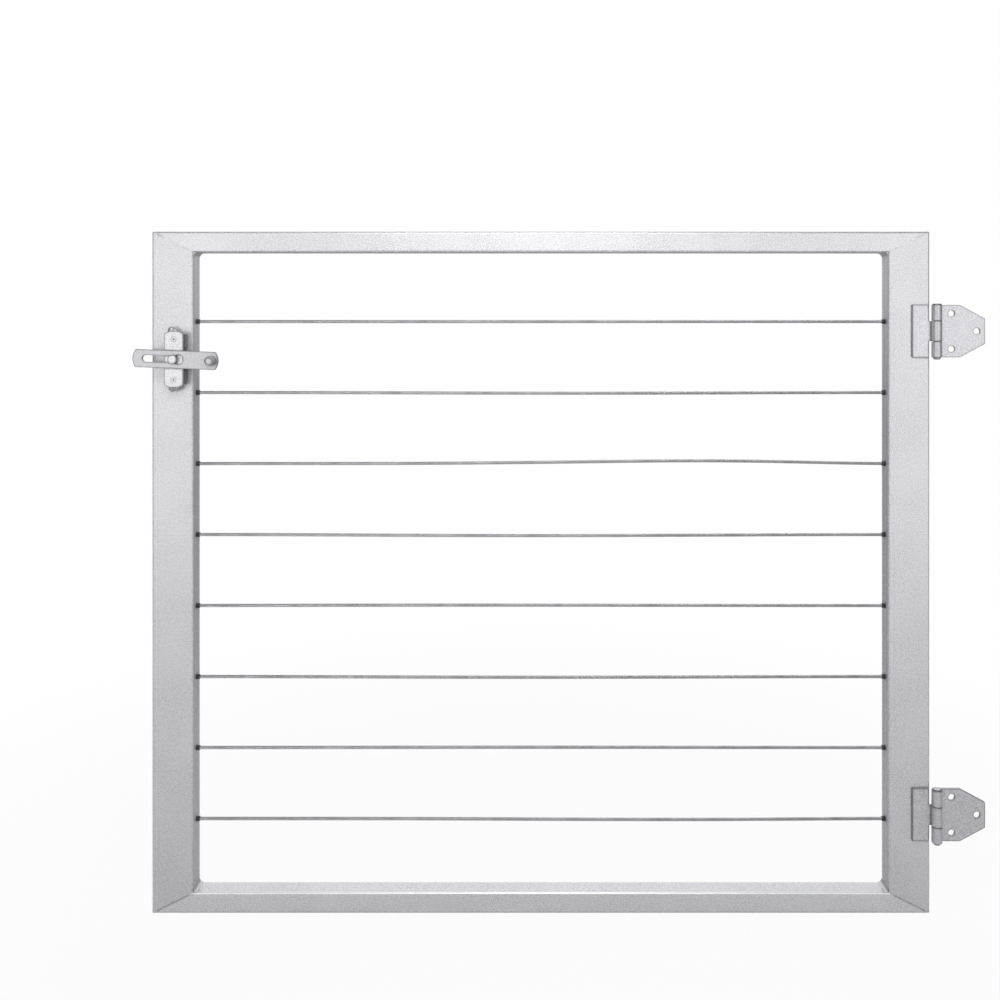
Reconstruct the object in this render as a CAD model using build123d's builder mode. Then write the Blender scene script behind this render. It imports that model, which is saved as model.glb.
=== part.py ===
from build123d import *
import os
from math import cos, radians, sin, sqrt

# Cable-infill deck gate: a mitred tube frame with taut wire ropes, two butt hinges and a slide latch.
# Millimetres. +Z is up, +X runs from the latch side to the hinge side, and -Y is the gate's front.
# The origin is on the lower post leaf's back face, midway between its two inner screw holes.

# ---- Driving sizes ----
# frame
gate_width = 956.0
gate_height = 838.2
stile_face = 50.8            # tube width seen from the front, on the two uprights
rail_face = 25.4             # the same on the two rails
tube_depth = 25.4
tube_wall = 1.6
tube_corner = 2.4            # outside corner radius of the tubes
frame_corner = 2.0           # ground radius on the frame's four outer corners
mitre_groove = 0.6           # depth of the shallow V left along each mitre on the front and back
mitre_groove_inset = 7.0     # the weld fills the V this far in from each end of the mitre

# wire ropes
rope_count = 8
rope_radius = 2.0
rope_end_gap = 85.2          # from a rail's inner edge to the nearest rope

# hinges
hinge_inset = 122.5          # gate top or bottom to the middle of a hinge
axis_offset = 6.2            # hinge axis beyond the stile's outer side
leaf_height = 64.3
leaf_thickness = 3.0
pin_radius = 3.2
gate_leaf_lap = 22.3         # how far the gate leaf laps over the stile
middle_knuckle = 24.5
knuckle_gap = 0.4
leaf_relief = 2.5            # gate leaf's ends stand back this far beside the post leaf's knuckles
post_leaf_reach = 60.4       # hinge axis to the post leaf's tip
post_leaf_shoulder = 29.4    # hinge axis to the start of the tapered sides
post_leaf_tip = 31.0         # length of the blunt tip
post_hole_radius = 4.0
inner_hole_offset = 19.2     # hinge axis to the two inner screw holes
inner_hole_spacing = 43.6
outer_hole_offset = 50.3     # hinge axis to the single outer screw hole

# latch
latch_drop = 156.7           # gate top to the stud
latch_offset = 6.9           # stud's axis from the middle of the stile's face, towards the ropes
standoff_depth = 13.2
standoff_foot = 9.8          # the full-width part of a standoff block, against the stile
standoff_step = 1.8          # how far the block narrows in front of that
standoff_inner = 13.0        # stud axis to a standoff block's near end
standoff_outer = 29.8
base_width = 22.6
base_height = 68.0
base_thickness = 3.0
base_tip_width = 10.2
base_tip_height = 2.6
bar_length = 103.5
bar_width = 21.8
bar_thickness = 3.0
bar_end_radius = 18.0
bar_tilt = 2.2               # degrees the bar droops towards the hinge side as it was left
bar_left_reach = 48.7        # stud axis to the bar's free end
slot_reach = 32.8            # stud axis to the centre of the slot's closed end
keyhole_offset = 6.5
stud_radius = 3.6
stud_head_radius = 5.4
stud_head_height = 3.0
knob_offset = 47.0           # stud axis to the knob
knob_radius = 5.6
knob_height = 11.0
screw_offset = 24.6          # stud axis to a base-plate screw

# small fittings
bush_wall = 0.9
bush_proud = 4.2
stop_radius = 4.8
stop_length = 13.0
washer_radius = 5.8
washer_thickness = 1.2
terminal_wall = 1.0
terminal_length = 26.0
nut_across_flats = 10.0
nut_height = 5.0
access_radius = 6.0
plug_cap_radius = 7.6
plug_cap = 0.6
plug_depth = 4.0
screw_radius = 2.0
screw_head_radius = 3.3

# ---- Clearances ----
seat_clearance = 0.05        # radial, pieces that are pushed into a hole and stay there
running_clearance = 0.05     # radial, pieces that turn in a hole
slide_gap = 0.2              # between flat faces that slide on each other
seam_gap = 0.5               # slit where a rolled knuckle's edge meets its leaf
slot_clearance = 0.45        # radial, the stud's stem in the bar's slot
keyhole_clearance = 0.5      # radial, the stud's head in the bar's keyhole

# ---- Places worked out from them ----
hinge_axis_x = -inner_hole_offset
hinge_side_x = hinge_axis_x - axis_offset
latch_side_x = hinge_side_x - gate_width
frame_middle_x = (hinge_side_x + latch_side_x) / 2
bottom_z = -hinge_inset
top_z = bottom_z + gate_height
frame_middle_z = (bottom_z + top_z) / 2
lower_hinge_z = 0.0
upper_hinge_z = top_z - hinge_inset
mid_depth = tube_depth / 2

hinge_inner_x = hinge_side_x - stile_face
latch_inner_x = latch_side_x + stile_face
rope_span = gate_height - 2 * (rail_face + rope_end_gap)
rope_pitch = rope_span / (rope_count - 1)
rope_heights = [top_z - rail_face - rope_end_gap - rope_pitch * i for i in range(rope_count)]
rope_points = [(mid_depth, z) for z in rope_heights]
bush_radius = rope_radius + bush_wall
terminal_radius = rope_radius + terminal_wall

knuckle_radius = pin_radius + leaf_thickness
hinge_axis_y = -knuckle_radius
outer_knuckle = (leaf_height - middle_knuckle) / 2 - knuckle_gap

latch_x = latch_side_x + stile_face / 2 + latch_offset
latch_z = top_z - latch_drop
base_back_y = -standoff_depth
base_front_y = base_back_y - base_thickness
bar_back_y = base_front_y - slide_gap
bar_front_y = bar_back_y - bar_thickness
slot_width = 2 * (stud_radius + slot_clearance)
keyhole_radius = stud_head_radius + keyhole_clearance

os.makedirs("parts", exist_ok=True)


def write(part, name):
    part.label = name
    export_step(part, f"parts/{name}.step")


def rectangle_between(low, high, mode=Mode.ADD):
    with Locations(((low[0] + high[0]) / 2, (low[1] + high[1]) / 2)):
        Rectangle(high[0] - low[0], high[1] - low[1], mode=mode)


def ring(inner_radius, outer_radius):
    Circle(outer_radius)
    Circle(inner_radius, mode=Mode.SUBTRACT)


# ---- Frame: four mitred tubes ----

def tube_section(width, height):
    RectangleRounded(width, height, tube_corner)
    inner_corner = max(tube_corner - tube_wall, 0.3)
    RectangleRounded(width - 2 * tube_wall, height - 2 * tube_wall, inner_corner, mode=Mode.SUBTRACT)


def frame_outline():
    with Locations((frame_middle_x, frame_middle_z)):
        RectangleRounded(gate_width, gate_height, frame_corner)


def cut_mitre_groove(outer_x, inner_x, outer_z, inner_z):
    """A shallow V along one mitre line, half in each of the two tubes, on the front and the back."""
    run = Vector(inner_x - outer_x, 0, inner_z - outer_z)
    middle = Vector((outer_x + inner_x) / 2, 0, (outer_z + inner_z) / 2)
    side = mitre_groove * sqrt(2)
    for face_y in (0, tube_depth):
        seam = Plane(origin=middle + Vector(0, face_y, 0), x_dir=run, z_dir=(0, -1, 0))
        with Locations(seam):
            Box(run.length - 2 * mitre_groove_inset, side, side, rotation=(45, 0, 0), mode=Mode.SUBTRACT)


def stile(outer_x, inner_x, screw_points=()):
    """An upright, mitred from its outer corners to the frame's inner corners."""
    with BuildPart() as upright:
        with BuildSketch(Plane.XY.offset(bottom_z)):
            with Locations(((outer_x + inner_x) / 2, mid_depth)):
                tube_section(stile_face, tube_depth)
        extrude(amount=gate_height)
        with BuildSketch(Plane.XZ):
            Polygon(
                (outer_x, bottom_z), (outer_x, top_z),
                (inner_x, top_z - rail_face), (inner_x, bottom_z + rail_face),
                align=None,
            )
        extrude(amount=-tube_depth, mode=Mode.INTERSECT)
        with BuildSketch(Plane.XZ):
            frame_outline()
        extrude(amount=-tube_depth, mode=Mode.INTERSECT)
        cut_mitre_groove(outer_x, inner_x, top_z, top_z - rail_face)
        cut_mitre_groove(outer_x, inner_x, bottom_z, bottom_z + rail_face)
        # small holes for the rope bushes in the inner wall, large access holes in the outer wall
        into_tube = 1 if inner_x > outer_x else -1
        with BuildSketch(Plane.YZ.offset(inner_x)):
            with Locations(*rope_points):
                Circle(bush_radius + seat_clearance)
        extrude(amount=-2 * tube_wall * into_tube, mode=Mode.SUBTRACT)
        with BuildSketch(Plane.YZ.offset(outer_x)):
            with Locations(*rope_points):
                Circle(access_radius)
        extrude(amount=2 * tube_wall * into_tube, mode=Mode.SUBTRACT)
        if screw_points:
            with BuildSketch(Plane.XZ):
                with Locations(*screw_points):
                    Circle(screw_radius + seat_clearance)
            extrude(amount=-2 * tube_wall, mode=Mode.SUBTRACT)
    return upright


def rail(outer_z, inner_z):
    """A horizontal tube, mitred to meet the stiles."""
    with BuildPart() as horizontal:
        with BuildSketch(Plane.YZ.offset(latch_side_x)):
            with Locations((mid_depth, (outer_z + inner_z) / 2)):
                tube_section(tube_depth, rail_face)
        extrude(amount=gate_width)
        with BuildSketch(Plane.XZ):
            Polygon(
                (latch_side_x, outer_z), (hinge_side_x, outer_z),
                (hinge_inner_x, inner_z), (latch_inner_x, inner_z),
                align=None,
            )
        extrude(amount=-tube_depth, mode=Mode.INTERSECT)
        with BuildSketch(Plane.XZ):
            frame_outline()
        extrude(amount=-tube_depth, mode=Mode.INTERSECT)
        cut_mitre_groove(latch_side_x, latch_inner_x, outer_z, inner_z)
        cut_mitre_groove(hinge_side_x, hinge_inner_x, outer_z, inner_z)
    return horizontal


base_screw_points = [(latch_x, latch_z + screw_offset), (latch_x, latch_z - screw_offset)]
write(stile(latch_side_x, latch_inner_x, base_screw_points).part, "latch_stile")
write(stile(hinge_side_x, hinge_inner_x).part, "hinge_stile")
write(rail(top_z, top_z - rail_face).part, "top_rail")
write(rail(bottom_z, bottom_z + rail_face).part, "bottom_rail")


# ---- Wire ropes and the fittings at their ends ----

latch_wall_x = latch_inner_x - tube_wall      # inner wall's inside face in the latch stile
hinge_wall_x = hinge_inner_x + tube_wall      # the same in the hinge stile
bore_radius = rope_radius + seat_clearance
stop_start_x = latch_wall_x - washer_thickness - stop_length
rope_start_x = stop_start_x + 2.0             # the stop's closed end
terminal_start_x = hinge_wall_x + washer_thickness
rope_finish_x = terminal_start_x + terminal_length / 2

for number, height in enumerate(rope_heights, start=1):
    with BuildPart() as rope:
        with BuildSketch(Plane.YZ.offset(rope_start_x)):
            with Locations((mid_depth, height)):
                Circle(rope_radius)
        extrude(amount=rope_finish_x - rope_start_x)
    write(rope.part, f"rope_{number}")


def bushes(wall_x, direction):
    """Dark bushes pressed through a stile's inner wall, standing proud on the ropes' side."""
    with BuildPart() as sleeves:
        with BuildSketch(Plane.YZ.offset(wall_x)):
            with Locations(*rope_points):
                Circle(bush_radius)
        extrude(amount=direction * (tube_wall + bush_proud))
        rims = sleeves.edges().filter_by(GeomType.CIRCLE).group_by(Axis.X)[-1 if direction > 0 else 0]
        fillet(rims, (bush_radius - bore_radius) * 0.8)
        with BuildSketch(Plane.YZ.offset(wall_x)):
            with Locations(*rope_points):
                Circle(bore_radius)
        extrude(amount=direction * (tube_wall + bush_proud), mode=Mode.SUBTRACT)
    return sleeves


write(bushes(latch_wall_x, 1).part, "latch_side_bushes")
write(bushes(hinge_wall_x, -1).part, "hinge_side_bushes")


def rope_washers(start_x):
    """Flat washers that spread each fitting's pull on the inside of the stile's wall."""
    with BuildPart() as washers:
        with BuildSketch(Plane.YZ.offset(start_x)):
            with Locations(*rope_points):
                ring(bore_radius, washer_radius)
        extrude(amount=washer_thickness)
    return washers


write(rope_washers(latch_wall_x - washer_thickness).part, "stop_washers")
write(rope_washers(hinge_wall_x).part, "tension_washers")

with BuildPart() as rope_stops:
    with BuildSketch(Plane.YZ.offset(stop_start_x)):
        with Locations(*rope_points):
            Circle(stop_radius)
    extrude(amount=stop_length)
    fillet(rope_stops.edges().filter_by(GeomType.CIRCLE).group_by(Axis.X)[0], stop_radius * 0.6)
    with BuildSketch(Plane.YZ.offset(rope_start_x)):
        with Locations(*rope_points):
            Circle(bore_radius)
    extrude(amount=stop_length, mode=Mode.SUBTRACT)
write(rope_stops.part, "rope_stops")

with BuildPart() as terminals:
    with BuildSketch(Plane.YZ.offset(terminal_start_x)):
        with Locations(*rope_points):
            Circle(terminal_radius)
    extrude(amount=terminal_length)
    chamfer(terminals.edges().filter_by(GeomType.CIRCLE).group_by(Axis.X)[-1], 0.5)
    with BuildSketch(Plane.YZ.offset(terminal_start_x)):
        with Locations(*rope_points):
            Circle(bore_radius)
    extrude(amount=rope_finish_x - terminal_start_x, mode=Mode.SUBTRACT)
write(terminals.part, "tension_terminals")

with BuildPart() as tension_nuts:
    with BuildSketch(Plane.YZ.offset(terminal_start_x)):
        with Locations(*rope_points):
            RegularPolygon(nut_across_flats / 2, 6, major_radius=False)
            Circle(terminal_radius + seat_clearance, mode=Mode.SUBTRACT)
    extrude(amount=nut_height)
write(tension_nuts.part, "tension_nuts")


def access_plugs(outer_x, outward):
    """Low domed caps with a stem that snaps into each access hole."""
    with BuildPart() as plugs:
        with BuildSketch(Plane.YZ.offset(outer_x)):
            with Locations(*rope_points):
                Circle(plug_cap_radius)
        extrude(amount=outward * plug_cap)
        rims = plugs.edges().filter_by(GeomType.CIRCLE).group_by(Axis.X)[-1 if outward > 0 else 0]
        chamfer(rims, plug_cap * 0.6)
        with BuildSketch(Plane.YZ.offset(outer_x)):
            with Locations(*rope_points):
                Circle(access_radius - seat_clearance)
        extrude(amount=-outward * plug_depth)
    return plugs


write(access_plugs(latch_side_x, -1).part, "latch_side_plugs")
write(access_plugs(hinge_side_x, 1).part, "hinge_side_plugs")


# ---- Hinges ----

def knuckle(middle_z, height):
    """A rolled barrel on the hinge axis, with softened rims."""
    with BuildPart() as barrel:
        with Locations((hinge_axis_x, hinge_axis_y, middle_z)):
            Cylinder(knuckle_radius, height)
        fillet(barrel.edges().filter_by(GeomType.CIRCLE), leaf_thickness / 4)
    return barrel.part


def bore_knuckles(hinge_z, radius, leaf_side):
    """Open the pin's bore, and the slit where the rolled edge meets its own leaf."""
    with Locations((hinge_axis_x, hinge_axis_y, hinge_z)):
        Cylinder(radius, leaf_height + 2, mode=Mode.SUBTRACT)
    slit = knuckle_radius - pin_radius / 2
    with Locations((
        hinge_axis_x + leaf_side * (pin_radius / 2 + slit / 2),
        -leaf_thickness - seam_gap / 2,
        hinge_z,
    )):
        Box(slit, seam_gap, leaf_height + 2, mode=Mode.SUBTRACT)


def gate_leaf(hinge_z):
    with BuildPart() as leaf:
        add(knuckle(hinge_z, middle_knuckle))
        with BuildSketch(Plane.XZ):
            lap_x = hinge_side_x - gate_leaf_lap
            relief_x = hinge_side_x - leaf_relief
            rectangle_between((lap_x, hinge_z - leaf_height / 2), (relief_x, hinge_z + leaf_height / 2))
            half = middle_knuckle / 2
            rectangle_between((relief_x, hinge_z - half), (hinge_axis_x, hinge_z + half))
        extrude(amount=leaf_thickness)
        bore_knuckles(hinge_z, pin_radius + running_clearance, -1)
    return leaf


def post_leaf(hinge_z):
    half = leaf_height / 2
    relief = middle_knuckle / 2 + knuckle_gap
    outer_middle = half - outer_knuckle / 2
    with BuildPart() as leaf:
        with BuildSketch(Plane.XZ) as outline:
            with BuildLine():
                shoulder_x = hinge_axis_x + post_leaf_shoulder
                tip_x = hinge_axis_x + post_leaf_reach
                Polyline(
                    (hinge_axis_x, hinge_z + half), (shoulder_x, hinge_z + half),
                    (tip_x, hinge_z + post_leaf_tip / 2), (tip_x, hinge_z - post_leaf_tip / 2),
                    (shoulder_x, hinge_z - half), (hinge_axis_x, hinge_z - half),
                    close=True,
                )
            make_face()
            fillet(outline.vertices().group_by(Axis.X)[-1], leaf_thickness / 2)
            rectangle_between(
                (hinge_axis_x, hinge_z - relief),
                (hinge_axis_x + knuckle_radius + knuckle_gap, hinge_z + relief),
                mode=Mode.SUBTRACT,
            )
            with Locations(
                (hinge_axis_x + inner_hole_offset, hinge_z + inner_hole_spacing / 2),
                (hinge_axis_x + inner_hole_offset, hinge_z - inner_hole_spacing / 2),
                (hinge_axis_x + outer_hole_offset, hinge_z),
            ):
                Circle(post_hole_radius, mode=Mode.SUBTRACT)
        extrude(amount=leaf_thickness)
        add(knuckle(hinge_z + outer_middle, outer_knuckle))
        add(knuckle(hinge_z - outer_middle, outer_knuckle))
        bore_knuckles(hinge_z, pin_radius + seat_clearance / 2, 1)
    return leaf


def hinge_pin(hinge_z):
    """A plain pin with a low domed head on top and a peened button under the lowest knuckle."""
    half = leaf_height / 2
    head_radius = knuckle_radius * 0.88
    button_radius = knuckle_radius * 0.7
    with BuildPart() as pin:
        with Locations((hinge_axis_x, hinge_axis_y, hinge_z)):
            Cylinder(pin_radius, leaf_height)
        with BuildSketch(Plane.XY.offset(hinge_z + half)):
            with Locations((hinge_axis_x, hinge_axis_y)):
                Circle(head_radius)
        extrude(amount=1.4)
        fillet(pin.edges().filter_by(GeomType.CIRCLE).group_by(Axis.Z)[-1], 1.0)
        with BuildSketch(Plane.XY.offset(hinge_z - half)):
            with Locations((hinge_axis_x, hinge_axis_y)):
                Circle(button_radius)
        extrude(amount=-2.6)
        fillet(pin.edges().filter_by(GeomType.CIRCLE).group_by(Axis.Z)[0], 1.8)
    return pin


for position, middle in (("lower", lower_hinge_z), ("upper", upper_hinge_z)):
    write(gate_leaf(middle).part, f"{position}_gate_leaf")
    write(post_leaf(middle).part, f"{position}_post_leaf")
    write(hinge_pin(middle).part, f"{position}_hinge_pin")


# ---- Latch: what is fixed to the gate ----

def facing_front(y):
    """A drawing plane seen from the front, with its origin on the stud's axis."""
    return Plane(origin=(latch_x, y, latch_z), x_dir=(1, 0, 0), z_dir=(0, -1, 0))


def standoff(side):
    """A block with a full-width foot on the stile and a slightly narrower neck under the base plate."""
    ends = sorted((side * standoff_inner, side * standoff_outer))
    with BuildPart() as block:
        with BuildSketch(facing_front(0)):
            rectangle_between((-base_width / 2, ends[0]), (base_width / 2, ends[1]))
        extrude(amount=standoff_foot)
        chamfer(block.edges().group_by(Axis.Y)[0], standoff_step / 4)
        with BuildSketch(facing_front(-standoff_foot)):
            rectangle_between(
                (-base_width / 2 + standoff_step, ends[0] + standoff_step / 2),
                (base_width / 2 - standoff_step, ends[1] - standoff_step / 2),
            )
        extrude(amount=standoff_depth - standoff_foot)
        with Locations(facing_front(base_back_y)):
            with Locations((0, side * screw_offset)):
                Hole(screw_radius + seat_clearance)
    return block


write(standoff(1).part, "upper_standoff")
write(standoff(-1).part, "lower_standoff")

with BuildPart() as base_plate:
    with BuildSketch(facing_front(base_back_y)):
        half_width = base_width / 2
        half_height = base_height / 2
        shoulder = half_height - base_tip_height
        half_tip = base_tip_width / 2
        Polygon(
            (-half_width, shoulder), (-half_tip, half_height), (half_tip, half_height),
            (half_width, shoulder), (half_width, -shoulder), (half_tip, -half_height),
            (-half_tip, -half_height), (-half_width, -shoulder),
            align=None,
        )
        Circle(stud_radius + running_clearance, mode=Mode.SUBTRACT)
    extrude(amount=base_thickness)
    fillet(base_plate.edges().filter_by(Axis.Y).group_by(Axis.X)[0], 1.2)
    fillet(base_plate.edges().filter_by(Axis.Y).group_by(Axis.X)[-1], 1.2)
    with Locations(facing_front(base_front_y)):
        with Locations((0, screw_offset), (0, -screw_offset)):
            CounterSinkHole(
                screw_radius + seat_clearance, screw_head_radius + 2 * seat_clearance, base_thickness, 90
            )
write(base_plate.part, "latch_base_plate")

with BuildPart() as screws:
    screw_length = base_thickness + standoff_depth + tube_wall + 4.0
    with BuildSketch(facing_front(base_front_y)):
        with Locations((0, screw_offset), (0, -screw_offset)):
            Circle(screw_radius)
    extrude(amount=-screw_length)
    chamfer(screws.edges().filter_by(GeomType.CIRCLE).group_by(Axis.Y)[-1], screw_radius * 0.7)
    with BuildSketch(facing_front(base_front_y)):
        with Locations((0, screw_offset), (0, -screw_offset)):
            Circle(screw_head_radius)
    extrude(amount=-(screw_head_radius - screw_radius), taper=45)
    with BuildSketch(facing_front(base_front_y)):
        with Locations((0, screw_offset), (0, -screw_offset)):
            Circle(screw_radius * 0.55)
    extrude(amount=-screw_radius * 0.5, taper=30, mode=Mode.SUBTRACT)
write(screws.part, "latch_screws")


def weld_bead(side, lumps):
    """Weld metal between a standoff block's end and the base plate's back, past the plate's tip."""
    with BuildPart() as bead:
        for across, radius, reach in lumps:
            lump_z = latch_z + side * (standoff_outer + reach - radius)
            with Locations((latch_x + across, base_back_y + radius * 0.6, lump_z)):
                Sphere(radius)
        depth = standoff_depth - 2.0
        with Locations((latch_x, base_back_y + depth / 2, latch_z + side * (standoff_outer + base_height / 4))):
            Box(base_width, depth, base_height / 2, mode=Mode.INTERSECT)
    return bead


# each lump: its place across from the stud's axis, its radius, and how far it reaches past the block
upper_lumps = ((-5.2, 4.2, 8.6), (-1.8, 5.2, 10.1), (2.2, 4.4, 8.8))
lower_lumps = ((-4.6, 4.4, 8.8), (-1.4, 5.2, 10.2), (2.8, 4.6, 9.2))
write(weld_bead(1, upper_lumps).part, "upper_weld_bead")
write(weld_bead(-1, lower_lumps).part, "lower_weld_bead")


# ---- Latch: what turns and slides ----

head_back_y = bar_front_y - slide_gap
spring_front_y = base_back_y + slide_gap
spring_thickness = 0.8
tail_washer_y = spring_front_y + spring_thickness
tail_nut_y = tail_washer_y + washer_thickness
stud_end_y = tail_nut_y + nut_height + 1.0

with BuildPart() as stud:
    with BuildSketch(facing_front(stud_end_y)):
        Circle(stud_radius)
    extrude(amount=stud_end_y - head_back_y)
    with BuildSketch(facing_front(head_back_y)):
        Circle(stud_head_radius)
    extrude(amount=stud_head_height)
    fillet(stud.edges().filter_by(GeomType.CIRCLE).group_by(Axis.Y)[0], stud_head_height * 0.4)
write(stud.part, "latch_stud")


def on_stud(front_y, thickness, outer_radius):
    with BuildPart() as disc:
        with BuildSketch(facing_front(front_y)):
            ring(stud_radius + seat_clearance, outer_radius)
        extrude(amount=-thickness)
    return disc


write(on_stud(spring_front_y, spring_thickness, stud_radius + 2.6).part, "stud_spring_washer")
write(on_stud(tail_washer_y, washer_thickness, stud_radius + 3.4).part, "stud_tail_washer")

with BuildPart() as stud_nut:
    with BuildSketch(facing_front(tail_nut_y)):
        RegularPolygon(stud_radius + 2.4, 6, major_radius=False)
        Circle(stud_radius + seat_clearance, mode=Mode.SUBTRACT)
    extrude(amount=-nut_height)
write(stud_nut.part, "stud_lock_nut")

tilt = radians(bar_tilt)
bar_plane = Plane(origin=(latch_x, bar_back_y, latch_z), x_dir=(cos(tilt), 0, -sin(tilt)), z_dir=(0, -1, 0))
bar_right_reach = bar_length - bar_left_reach
knob_stem_radius = knob_radius * 0.45

with BuildPart() as bar:
    with BuildSketch(bar_plane) as bar_outline:
        half_width = bar_width / 2
        end_rise = bar_end_radius - sqrt(bar_end_radius ** 2 - half_width ** 2)
        with BuildLine():
            left_x = -bar_left_reach + end_rise
            right_x = bar_right_reach - end_rise
            Line((left_x, half_width), (right_x, half_width))
            ThreePointArc((right_x, half_width), (bar_right_reach, 0), (right_x, -half_width))
            Line((right_x, -half_width), (left_x, -half_width))
            ThreePointArc((left_x, -half_width), (-bar_left_reach, 0), (left_x, half_width))
        make_face()
        fillet(bar_outline.vertices(), 1.0)
        with Locations((-slot_reach / 2, 0)):
            SlotCenterToCenter(slot_reach, slot_width, mode=Mode.SUBTRACT)
        with Locations((keyhole_offset, 0)):
            Circle(keyhole_radius, mode=Mode.SUBTRACT)
        with Locations((knob_offset, 0)):
            Circle(knob_stem_radius + seat_clearance, mode=Mode.SUBTRACT)
    extrude(amount=bar_thickness)
    rim = bar.faces().sort_by(Axis.Y)[0].outer_wire().edges()
    chamfer(rim, 0.3)
write(bar.part, "latch_bar")

with BuildPart() as knob:
    with BuildSketch(bar_plane):
        with Locations((knob_offset, 0)):
            Circle(knob_stem_radius)
    extrude(amount=bar_thickness)
    with BuildSketch(bar_plane.offset(bar_thickness)):
        with Locations((knob_offset, 0)):
            Circle(knob_radius)
    extrude(amount=knob_height)
    fillet(knob.edges().filter_by(GeomType.CIRCLE).group_by(Axis.Y)[0], 0.8)
    with BuildSketch(bar_plane.offset(bar_thickness + knob_height)):
        with Locations((knob_offset, 0)):
            ring(knob_radius * 0.62, knob_radius * 0.76)
    extrude(amount=-0.4, mode=Mode.SUBTRACT)
write(knob.part, "latch_knob")
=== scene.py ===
"""A cable-infill deck gate with butt hinges and a slide latch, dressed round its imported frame.

The frame holds every tube, leaf, pin, rope and latch part at its real size. This script adds stranded
wire ropes, weld metal and coated-metal materials, and sets the studio, the lights and the camera.
"""
import math
import random

import bpy
from mathutils import Matrix, Vector


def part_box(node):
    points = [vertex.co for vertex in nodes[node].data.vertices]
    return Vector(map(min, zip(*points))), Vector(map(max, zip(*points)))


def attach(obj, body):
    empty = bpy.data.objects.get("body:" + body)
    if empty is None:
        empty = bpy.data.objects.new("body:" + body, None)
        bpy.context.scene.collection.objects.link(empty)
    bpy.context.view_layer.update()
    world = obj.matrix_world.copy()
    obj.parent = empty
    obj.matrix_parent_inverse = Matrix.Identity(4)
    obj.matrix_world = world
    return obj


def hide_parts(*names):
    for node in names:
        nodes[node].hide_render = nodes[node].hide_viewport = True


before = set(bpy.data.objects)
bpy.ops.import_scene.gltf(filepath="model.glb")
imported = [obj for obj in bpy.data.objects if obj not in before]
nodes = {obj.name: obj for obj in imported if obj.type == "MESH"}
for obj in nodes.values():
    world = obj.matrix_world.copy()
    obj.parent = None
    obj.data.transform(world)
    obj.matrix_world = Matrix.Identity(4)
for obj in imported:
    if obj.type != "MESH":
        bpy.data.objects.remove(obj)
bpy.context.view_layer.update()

MM = 0.001
latch_low, latch_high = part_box("latch_stile")
hinge_low, hinge_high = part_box("hinge_stile")
top_low, top_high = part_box("top_rail")
bottom_low, bottom_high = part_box("bottom_rail")

gate_left, gate_right = latch_low.x, hinge_high.x
gate_width = gate_right - gate_left
gate_bottom, gate_top = bottom_low.z, top_high.z
gate_height = gate_top - gate_bottom
gate_front, gate_back = latch_low.y, latch_high.y
gate_middle = Vector(((gate_left + gate_right) / 2, gate_front, (gate_bottom + gate_top) / 2))


# ---------------------------------------------------------------- camera

EYE_DISTANCE = 1.302         # from the gate's front, in gate widths
EYE_ACROSS = 0.495           # from the gate's left side, in gate widths
EYE_DROP = 0.143             # below the gate's top, in gate heights
VIEW_WIDTH = 1.2856          # what the frame takes in at the gate's front, in gate widths
VIEW_SHIFT = (-0.037, -0.171)
SENSOR_WIDTH = 36.0


def set_camera():
    """Square to the gate's face, level with its upper third, with the verticals kept upright by shift."""
    distance = EYE_DISTANCE * gate_width
    eye = Vector((
        gate_left + EYE_ACROSS * gate_width, gate_front - distance, gate_top - EYE_DROP * gate_height,
    ))
    data = bpy.data.cameras.new("camera")
    data.sensor_width = SENSOR_WIDTH
    data.lens = SENSOR_WIDTH * distance / (VIEW_WIDTH * gate_width)
    data.shift_x, data.shift_y = VIEW_SHIFT
    camera = bpy.data.objects.new("camera", data)
    camera.location = eye
    camera.rotation_euler = (math.radians(90), 0, 0)
    bpy.context.scene.collection.objects.link(camera)
    bpy.context.scene.camera = camera


set_camera()


# ---------------------------------------------------------------- modelling helpers

MERGE_DISTANCE = 0.01 * MM


def deselect_all():
    bpy.ops.object.select_all(action="DESELECT")


def take(piece):
    """Make one object the only selected and active one."""
    deselect_all()
    piece.select_set(True)
    bpy.context.view_layer.objects.active = piece


def named(name):
    """Name the object that was just added, and its mesh."""
    piece = bpy.context.active_object
    piece.name = name
    piece.data.name = name
    return piece


def settle(piece):
    """Put the piece's place, turn and scale into its mesh."""
    take(piece)
    bpy.ops.object.transform_apply(location=True, rotation=True, scale=True)
    return piece


def apply_modifiers(piece):
    """Apply the piece's modifiers in the order they were added."""
    take(piece)
    for modifier in list(piece.modifiers):
        bpy.ops.object.modifier_apply(modifier=modifier.name)
    return piece


def outward_normals(piece):
    """Merge doubled points, then turn every face outwards."""
    take(piece)
    bpy.ops.object.mode_set(mode="EDIT")
    bpy.ops.mesh.select_all(action="SELECT")
    bpy.ops.mesh.remove_doubles(threshold=MERGE_DISTANCE)
    bpy.ops.mesh.normals_make_consistent(inside=False)
    bpy.ops.object.mode_set(mode="OBJECT")
    return piece


def shade_smooth(piece, angle=35):
    take(piece)
    bpy.ops.object.shade_smooth_by_angle(angle=math.radians(angle))
    return piece


def copy_of(piece, name):
    """A copy of the piece with a mesh of its own."""
    twin = piece.copy()
    twin.data = piece.data.copy()
    twin.name = name
    twin.data.name = name
    bpy.context.scene.collection.objects.link(twin)
    return twin


# ---------------------------------------------------------------- shader node helpers

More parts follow.
